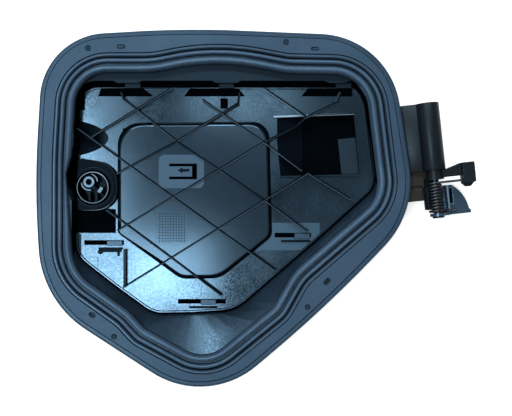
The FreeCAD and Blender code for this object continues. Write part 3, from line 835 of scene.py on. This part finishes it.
def sweep_round(bm, corners, section, step_degrees):
    """Carry a closed section of (inward, height) points round an outline."""
    turns = corner_turns(corners)
    place = turns[-1]["end"]
    along = turns[0]["into"]
    inward = Vector((along.y, -along.x, 0.0))
    verts = [bm.verts.new(place + inward * (d * MM) + Vector((0.0, 0.0, z * MM))) for d, z in section]
    edges = [bm.edges.new((verts[i - 1], verts[i])) for i in range(len(verts))]
    for corner in turns:
        verts, edges = mesh_parts(bmesh.ops.extrude_edge_only(bm, edges=edges)["geom"])
        bmesh.ops.translate(bm, verts=verts, vec=corner["start"] - place)
        steps = max(2, math.ceil(abs(math.degrees(corner["turn"])) / step_degrees))
        spun = bmesh.ops.spin(
            bm,
            geom=verts + edges,
            cent=corner["centre"],
            axis=(0.0, 0.0, 1.0),
            angle=corner["turn"],
            steps=steps,
        )
        verts, edges = mesh_parts(spun["geom_last"])
        place = corner["end"]
    bmesh.ops.remove_doubles(bm, verts=bm.verts, dist=0.01 * MM)
    bmesh.ops.recalc_face_normals(bm, faces=bm.faces)


print("corners of the seal:", len(seal_corners))

# %% Sweep the seal
seal_valley = 17.0
bead_fullness = 0.7


def round_bead(left, right, top, steps):
    """Half round of one bead, from its outer foot over its top to its inner foot."""
    points = []
    for i in range(steps + 1):
        turn = math.pi * i / steps
        across = (left + right) / 2 - (right - left) / 2 * math.cos(turn)
        points.append((across, seal_valley + (top - seal_valley) * math.sin(turn) ** bead_fullness))
    return points


seal_bed = channel_floor + 0.02
lip_side = 18.7
lip_top = 18.95
outer_bead = (2.85, 5.4, 20.2)
inner_bead = (6.2, 10.0, 21.5)
seal_section = [(9.2, seal_bed), (0.3, seal_bed)]
seal_section += [(0.45, lip_side), (0.7, lip_top), (1.5, lip_top), (1.8, lip_side)]
seal_section += round_bead(*outer_bead, 10)
seal_section += round_bead(*inner_bead, 14)
seal_mesh = bmesh.new()
sweep_round(seal_mesh, seal_corners, seal_section, 4.0)
bulge_centre = Vector((-70.0, 14.0, 0.0)) * MM
bulge_radius = 25.0 * MM
bulge_side = -85.0 * MM
pushed = 0
for vert in seal_mesh.verts:
    away = vert.co - bulge_centre
    away.z = 0.0
    if away.length < bulge_radius and vert.co.x < bulge_side:
        vert.co += away.normalized() * (bulge_radius - away.length)
        pushed += 1
crease_by_angle(seal_mesh, 50.0)
seal = finish_piece(seal_mesh, "rim_seal_strip", "flap", "seal_rubber", seal_finish)
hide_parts("rim_seal")
print("points pushed round the latch:", pushed)

# %% [markdown]
# The spring
#
# The torsion spring is one wire: a leg in the hook of the arm, nine and a half turns round the pin, and a leg
# on the bracket. A Screw modifier could wind the coil, but not the legs. Here a spin with a little travel at
# each step makes the helix, and two extrusions make the legs. When the flap swings the upper leg goes with it
# while the lower leg stays.

# %% Wind the spring
hinge_point = Vector((88.4, 36.2, 12.0)) * MM
hinge_lean = 6.0
hinge_place = Matrix.Translation(hinge_point) @ Matrix.Rotation(math.radians(hinge_lean), 4, "Z")
coil_shift = -0.6 * MM
coil_radius = 3.4 * MM
coil_top = -23.6 * MM
coil_pitch = 1.55 * MM
coil_turns = 9.5
wire_radius = 0.6 * MM
upper_leg = 15.0 * MM
lower_leg = 11.0 * MM
steps_per_turn = 32

spring_mesh = bmesh.new()
leg_end = Matrix.Translation((coil_shift + upper_leg, coil_top, coil_radius))
leg_end = leg_end @ Matrix.Rotation(math.radians(90.0), 4, "Y")
bmesh.ops.create_circle(spring_mesh, cap_ends=False, radius=wire_radius, segments=12, matrix=leg_end)
verts, edges = mesh_parts(bmesh.ops.extrude_edge_only(spring_mesh, edges=list(spring_mesh.edges))["geom"])
bmesh.ops.translate(spring_mesh, verts=verts, vec=(-upper_leg, 0.0, 0.0))
wound = bmesh.ops.spin(
    spring_mesh,
    geom=verts + edges,
    cent=(coil_shift, coil_top, 0.0),
    axis=(0.0, 1.0, 0.0),
    dvec=(0.0, -coil_pitch / steps_per_turn, 0.0),
    angle=-2.0 * math.pi * coil_turns,
    steps=round(coil_turns * steps_per_turn),
)
verts, edges = mesh_parts(wound["geom_last"])
verts, edges = mesh_parts(bmesh.ops.extrude_edge_only(spring_mesh, edges=edges)["geom"])
bmesh.ops.translate(spring_mesh, verts=verts, vec=(lower_leg, 0.0, 0.0))
open_edges = [edge for edge in spring_mesh.edges if edge.is_boundary]
bmesh.ops.holes_fill(spring_mesh, edges=open_edges, sides=0)
bmesh.ops.transform(spring_mesh, matrix=hinge_place, verts=spring_mesh.verts)
bmesh.ops.recalc_face_normals(spring_mesh, faces=spring_mesh.faces)
crease_by_angle(spring_mesh, 50.0)
spring = finish_piece(spring_mesh, "spring_wire", None, "spring_steel", spring_finish)
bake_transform(spring)
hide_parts("torsion_spring")

# %% [markdown]
# Small moulded marks
#
# A moulding shows how it was made: round dials, ejector circles, fine lines, an arrow, and small sunk lugs
# on the flange. They are a few tenths of a millimetre high. Bump in a finish could suggest them, but real
# walls catch the light at their sides. A round wall is a small rectangle spun round its centre, a lug is a
# block with rounded corners and a sunk top, and the arrow is a flat triangle and a block.


# %% Helpers for marks
def ring_wall(bm, centre, radius, wall, low, high, first=0.0, sweep=360.0):
    """Thin round wall, or an arc of it, by spinning its section."""
    turn = Matrix.Rotation(math.radians(first), 4, "Z")
    middle = Vector((*centre, 0.0)) * MM
    inner = radius - wall / 2
    outer = radius + wall / 2
    corners = [(inner, low), (outer, low), (outer, high), (inner, high)]
    verts = [bm.verts.new(middle + turn @ Vector((reach * MM, 0.0, z * MM))) for reach, z in corners]
    edges = [bm.edges.new((verts[i - 1], verts[i])) for i in range(4)]
    full = sweep >= 360.0
    step_degrees = 9.0
    steps = max(6, round(sweep / step_degrees))
    if not full:
        bm.faces.new(verts)
    spun = bmesh.ops.spin(
        bm,
        geom=verts + edges,
        cent=middle,
        axis=(0.0, 0.0, 1.0),
        angle=math.radians(sweep),
        steps=steps,
        use_merge=full,
    )
    if not full:
        bm.faces.new(mesh_parts(spun["geom_last"])[0])


def rounded_block(bm, centre, size, low, high, turn, corner):
    """Upright block with rounded corners in plan."""
    place = Matrix.Translation(Vector((*centre, (low + high) / 2)) * MM)
    place = place @ Matrix.Rotation(math.radians(turn), 4, "Z")
    place = place @ Matrix.Diagonal(Vector((size[0] * MM, size[1] * MM, (high - low) * MM, 1.0)))
    made = bmesh.ops.create_cube(bm, size=1.0, matrix=place)["verts"]
    edges = dict.fromkeys(edge for vert in made for edge in vert.link_edges)
    half_height = (high - low) * MM / 2
    upright = [edge for edge in edges if abs(edge.verts[0].co.z - edge.verts[1].co.z) > half_height]
    bmesh.ops.bevel(
        bm, geom=upright, offset=corner * MM, affect="EDGES", segments=4, profile=0.5, material=-1
    )


# %% Lugs on the flange
foot = 0.1
flange_top = 18.5
lug_size = 2.8
lug_corner = 1.35
lug_foot = flange_top - foot
round_lug_top = flange_top + 0.35
long_lug_top = flange_top + 0.3
round_lugs = [(-84.0, 80.0), (15.0, 83.0), (-71.0, -64.25), (25.75, -49.5)]
long_lugs = [
    (-67.5, 80.75, 4.0, 2.0, 0.0),
    (29.5, 79.75, 4.0, 1.75, 0.0),
    (-82.0, -53.5, 3.5, 2.5, -35.0),
    (35.5, -36.75, 4.0, 2.5, 45.0),
]
lug_mesh = bmesh.new()
for x, y in round_lugs:
    rounded_block(lug_mesh, (x, y), (lug_size, lug_size), lug_foot, round_lug_top, 0.0, lug_corner)
for x, y, length, width, turn in long_lugs:
    rounded_block(lug_mesh, (x, y), (length, width), lug_foot, long_lug_top, turn, width * 0.45)
tops = [face for face in lug_mesh.faces if is_level(face.normal)]
bmesh.ops.inset_individual(lug_mesh, faces=tops, thickness=0.5 * MM, depth=-0.3 * MM)
# Painted shade: the lugs take the dark finish all round, and only the sunk tops of the long lugs keep the
# flange's finish.
sunk_level = (flange_top + 0.02) * MM
for face in tops:
    face.material_index = 1 if face.calc_center_median().z < sunk_level else 0
crease_by_angle(lug_mesh)
finish_piece(lug_mesh, "flange_lugs", "flap", "frame_plastic", hook_finish, frame_finish)

# %% Dials and ejector circles on the plate
pad_rings = [(-58.2, 32.0, 3.5, 0.35), (-58.2, 32.0, 2.2, 0.3), (-52.5, 30.0, 3.2, 0.35)]
floor_rings = [(40.5, 11.8, 2.2, 0.35), (-84.0, 54.3, 2.4, 0.35), (29.2, 11.3, 2.0, 0.35)]
corner_lines = [(-83.8, -25.2, 5.6, 0.5), (-81.2, -28.6, 0.5, 6.6)]
mark_mesh = bmesh.new()
for x, y, radius, wall in pad_rings:
    ring_wall(mark_mesh, (x, y), radius, wall, pad_top - foot, pad_top + 0.2)
for x, y, radius, wall in floor_rings:
    ring_wall(mark_mesh, (x, y), radius, wall, plate_floor - foot, plate_floor + 0.25)
for x, y, length, width in corner_lines:
    rounded_block(mark_mesh, (x, y), (length, width), plate_floor - foot, plate_floor + 0.35, 0.0, 0.1)
bmesh.ops.recalc_face_normals(mark_mesh, faces=mark_mesh.faces)
crease_by_angle(mark_mesh)
finish_piece(mark_mesh, "plate_marks", "flap", "carrier_plastic", pad_finish)

# %% Arrow on the tongue
arrow_middle = 19.2
arrow_mesh = bmesh.new()
arrow_head = Matrix.Translation(Vector((-38.2, arrow_middle, pad_top - foot)) * MM)
arrow_head = arrow_head @ Matrix.Rotation(math.radians(90.0), 4, "Z")
bmesh.ops.create_circle(arrow_mesh, cap_ends=True, radius=1.7 * MM, segments=3, matrix=arrow_head)
arrow_faces = bmesh.ops.extrude_face_region(arrow_mesh, geom=list(arrow_mesh.faces))["geom"]
bmesh.ops.translate(arrow_mesh, verts=mesh_parts(arrow_faces)[0], vec=(0.0, 0.0, 0.35 * MM))
rounded_block(arrow_mesh, (-35.6, arrow_middle), (3.4, 1.3), pad_top - foot, pad_top + 0.25, 0.0, 0.1)
bmesh.ops.recalc_face_normals(arrow_mesh, faces=arrow_mesh.faces)
crease_by_angle(arrow_mesh)
finish_piece(arrow_mesh, "tongue_arrow", "flap", "carrier_plastic", black_and_shade_finish)

# %% [markdown]
# Small walls
#
# Three places have small walls of their own: a web that closes the gap behind the top of the spring, a guide
# bar with a knob beside the left snap clip, and thin curved and straight walls inside the latch. They carry
# no load, so they are left to this file. All are blocks with rounded corners or spun arcs, and the tallest
# walls of the latch have painted pale highlights on their tops.

# %% Web behind the spring
web_mesh = bmesh.new()
rounded_block(web_mesh, (87.4, 12.9), (6.0, 5.0), 5.4, 7.2, hinge_lean, 0.3)
crease_by_angle(web_mesh)
finish_piece(web_mesh, "spring_web", "flap", "arm_plastic", arm_finish)

# %% Guide bar of the left clip
bar_top = plate_floor + 1.2
knob_top = plate_floor + 1.5
bar_mesh = bmesh.new()
rounded_block(bar_mesh, (-74.6, -21.8), (11.4, 1.5), plate_floor - foot, bar_top, 0.0, 0.6)
rounded_block(bar_mesh, (-79.6, -22.4), (2.4, 2.4), plate_floor - foot, knob_top, 0.0, 1.1)
rounded_block(bar_mesh, (-70.4, -23.3), (1.0, 2.6), plate_floor - foot, bar_top, 0.0, 0.2)
crease_by_angle(bar_mesh)
finish_piece(bar_mesh, "left_guide_bar", "flap", "carrier_plastic", black_and_shade_finish)

# %% Walls inside the latch
boss = (-84.6, 13.2)
latch_base = 5.5
arc_top = 12.2
fin_top = 11.6
tab_top = 12.4
pale_above = 12.1
latch_mesh = bmesh.new()
ring_wall(latch_mesh, boss, 4.1, 0.6, latch_base, arc_top, 185.0, 95.0)
ring_wall(latch_mesh, boss, 4.1, 0.6, latch_base, arc_top, 5.0, 70.0)
rounded_block(latch_mesh, (-84.6, 5.6), (0.9, 5.4), latch_base, fin_top, 0.0, 0.15)
rounded_block(latch_mesh, (-81.0, 5.3), (0.9, 4.4), latch_base, fin_top, 0.0, 0.15)
rounded_block(latch_mesh, (-79.0, 9.2), (1.6, 3.0), latch_base, tab_top, -35.0, 0.2)
bmesh.ops.recalc_face_normals(latch_mesh, faces=latch_mesh.faces)
latch_mesh.normal_update()
# Tops of the tallest walls get a painted pale highlight.
for face in latch_mesh.faces:
    pale = is_level(face.normal) and face.calc_center_median().z > pale_above * MM
    face.material_index = 1 if pale else 0
crease_by_angle(latch_mesh)
finish_piece(latch_mesh, "latch_walls", "flap", "receiver_plastic", receiver_finish, painted_highlight_finish)

# %% [markdown]
# Stage
#
# The part lies on white. A curved backdrop is usual, but for a view from above a wide flat sheet will do. It
# takes the soft shadow. It and the room glow a little toward the camera, so that they stay white at a light
# level that suits the dark plastic. Five soft lamps stand where the plate and the bowl mirror them.

# %% Floor
floor_mesh = bmesh.new()
bmesh.ops.create_grid(floor_mesh, x_segments=1, y_segments=1, size=3.0)
bmesh.ops.translate(floor_mesh, verts=floor_mesh.verts, vec=(0.0, 0.0, -0.2 * MM))
sheet_mesh = bpy.data.meshes.new("white_sheet")
floor_mesh.to_mesh(sheet_mesh)
floor_mesh.free()
sheet = bpy.data.objects.new("white_sheet", sheet_mesh)
scene.collection.objects.link(sheet)
sheet_finish = bpy.data.materials.new("white_sheet")
sheet_finish.use_nodes = True
sheet_nodes = sheet_finish.node_tree.nodes
sheet_shader = sheet_nodes["Principled BSDF"]
sheet_shader.inputs["Base Color"].default_value = (0.9, 0.9, 0.9, 1.0)
sheet_shader.inputs["Roughness"].default_value = 0.9
sheet_shader.inputs["Emission Color"].default_value = (1.0, 1.0, 1.0, 1.0)
seen = sheet_nodes.new("ShaderNodeLightPath")
glow = sheet_nodes.new("ShaderNodeMath")
glow.operation = "MULTIPLY"
sheet_glow = 0.6
glow.inputs[1].default_value = sheet_glow
sheet_finish.node_tree.links.new(seen.outputs["Is Camera Ray"], glow.inputs[0])
sheet_finish.node_tree.links.new(glow.outputs["Value"], sheet_shader.inputs["Emission Strength"])
sheet_mesh.materials.append(sheet_finish)
print("the sheet glows by", sheet_glow, "toward the camera")

# %% Room
room_light = 0.34
room_glow = 0.7
world = bpy.data.worlds.new("white_room")
scene.world = world
world.use_nodes = True
room = world.node_tree.nodes["Background"]
room.inputs["Color"].default_value = (0.93, 0.97, 1.0, 1.0)
looked_at = world.node_tree.nodes.new("ShaderNodeLightPath")
room_level = world.node_tree.nodes.new("ShaderNodeMath")
room_level.operation = "MULTIPLY_ADD"
room_level.inputs[1].default_value = room_glow
room_level.inputs[2].default_value = room_light
world.node_tree.links.new(looked_at.outputs["Is Camera Ray"], room_level.inputs[0])
world.node_tree.links.new(room_level.outputs["Value"], room.inputs["Strength"])
print("the room lights the part at", room_light)


# %% Lamps
def soft_lamp(name, place, size, power):
    """Rectangular lamp that faces the part, with its first side along X."""
    lamp = bpy.data.lights.new(name, "AREA")
    lamp.shape = "RECTANGLE"
    lamp.size = size[0]
    lamp.size_y = size[1]
    lamp.energy = power
    lamp.color = (0.94, 0.98, 1.0)
    holder = bpy.data.objects.new(name, lamp)
    scene.collection.objects.link(holder)
    holder.location = place
    back = Vector(place).normalized()
    side = Vector((0.0, 1.0, 0.0)).cross(back).normalized()
    holder.rotation_euler = Matrix((side, back.cross(side), back)).transposed().to_euler()


soft_lamp("left_window", (-0.265, -0.05, 0.9), (0.09, 0.26), 1.45)
soft_lamp("high_window", (-0.28, 0.16, 0.9), (0.06, 0.16), 0.5)
soft_lamp("low_window", (-0.15, -0.11, 0.9), (0.15, 0.12), 1.4)
soft_lamp("top_window", (-0.02, 0.165, 0.9), (0.16, 0.05), 0.22)
soft_lamp("far_window", (-0.11, 0.7, 0.9), (1.0, 0.14), 9.0)
print("lamps:", len(bpy.data.lights))

# %% [markdown]
# View and size
#
# The camera looks straight down on the part. A longer lens from farther away would show the same outline, but
# less of the inner walls.

# %% Camera
camera = bpy.data.cameras.new("camera")
camera.lens = 59.06
camera.sensor_width = 36.0
camera_holder = bpy.data.objects.new("camera", camera)
scene.collection.objects.link(camera_holder)
camera_holder.location = (0.0, 0.0, 0.4385)
scene.camera = camera_holder
scene.view_settings.view_transform = "Standard"
print("camera looks straight down from", camera_holder.location.z, "m")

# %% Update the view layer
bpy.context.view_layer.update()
